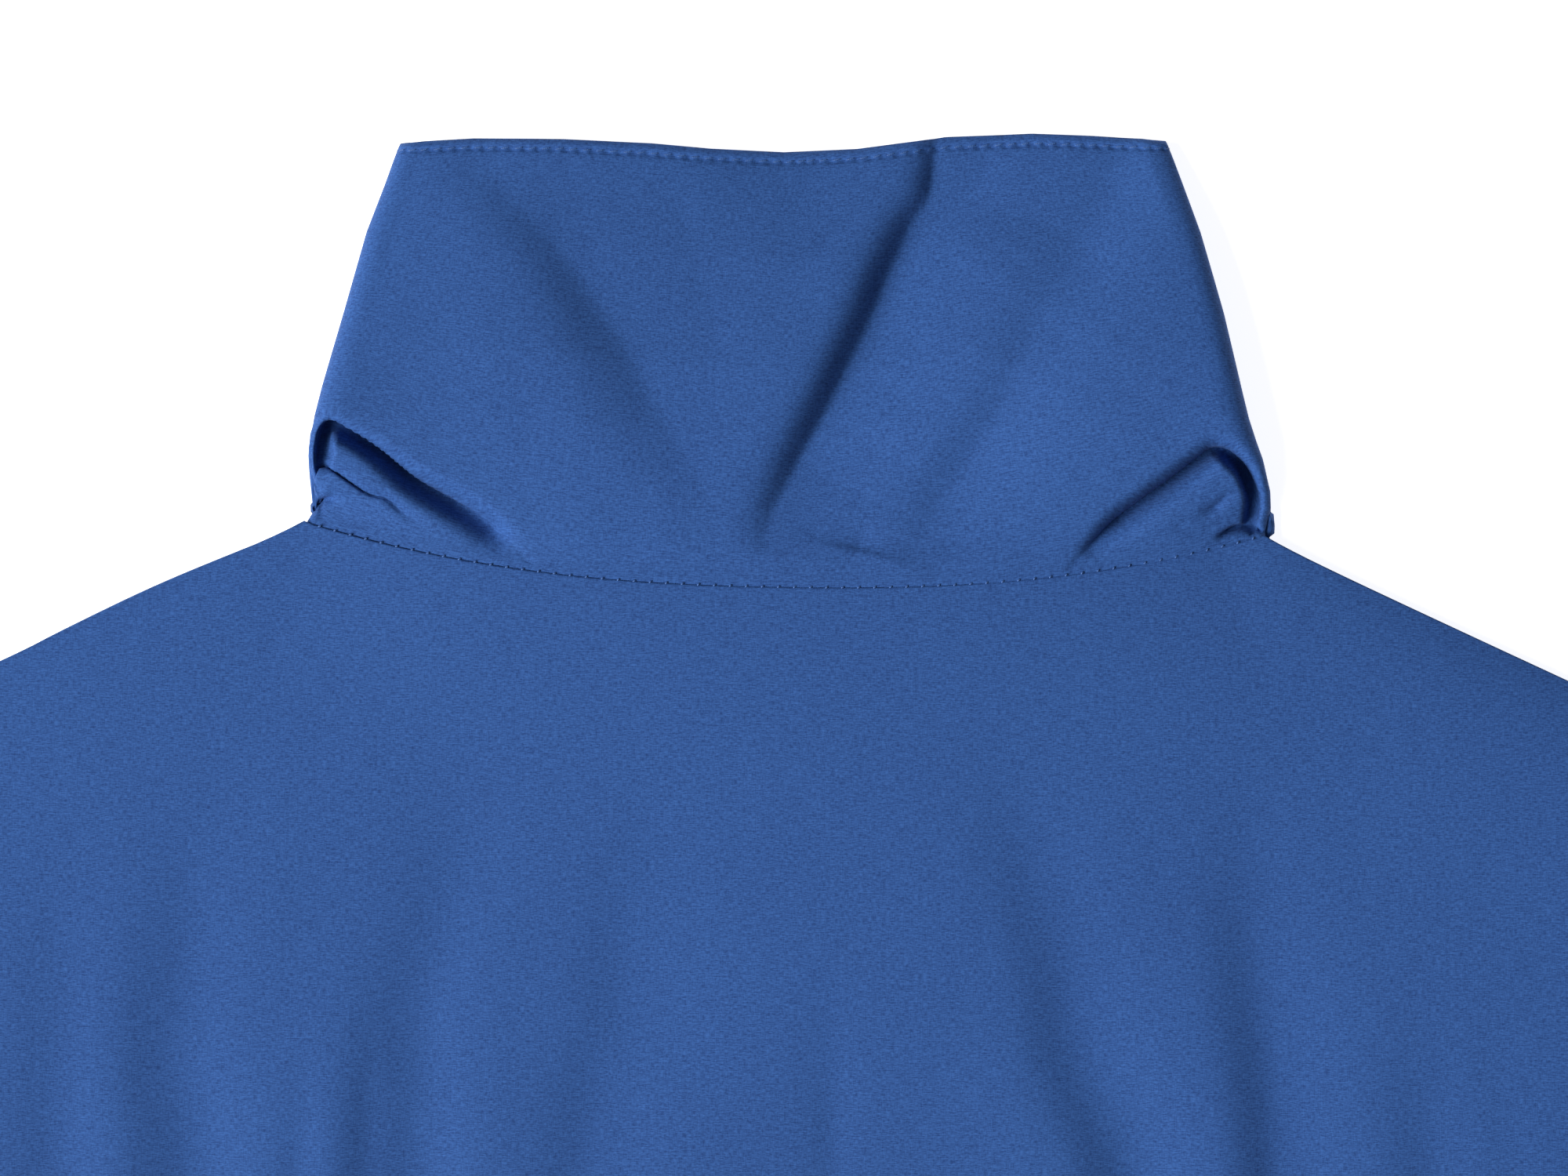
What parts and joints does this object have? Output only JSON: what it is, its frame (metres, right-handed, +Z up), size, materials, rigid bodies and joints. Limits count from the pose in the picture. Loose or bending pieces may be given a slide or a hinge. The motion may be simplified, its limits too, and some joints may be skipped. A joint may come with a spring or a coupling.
{
  "type": "flight jacket",
  "caption": "Blue flight jacket with a tall stand collar and ribbed cuffs and waistband, zipped up and laid flat face down with its back up.",
  "frame": {"origin": "under the middle of the laid jacket's box, on the surface that it lies on", "axes": "+X towards the wearer's right sleeve, +Y from the hem towards the collar, +Z up, out of the back"},
  "size_m": [1.4052, 0.7416, 0.0134],
  "materials": {
    "cloth": "matt royal blue plain weave with a fine slub",
    "rib_knit": "matt royal blue rib knit",
    "zip_tape": "matt woven zip tape",
    "zip_metal": "satin nickel zip parts"
  },
  "bodies": {
    "jacket": {"back": "cloth", "front_left": "cloth", "front_right": "cloth", "collar": "cloth", "sleeve_left": "cloth", "sleeve_right": "cloth", "waistband": "rib_knit", "cuff_left": "rib_knit", "cuff_right": "rib_knit", "zip_tape_left": "zip_tape", "zip_tape_right": "zip_tape", "zip_chain": "zip_metal", "zip_slider": "zip_metal"},
    "pull_tab": {"zip_pull": "zip_metal"}
  },
  "joints": [
    {"name": "pull_tab_hinge", "type": "hinge", "parent": "jacket", "child": "pull_tab", "pos_m": [0, 0.26455, 0.0014], "axis": [1, 0, 0], "range_deg": [0, 170]}
  ]
}
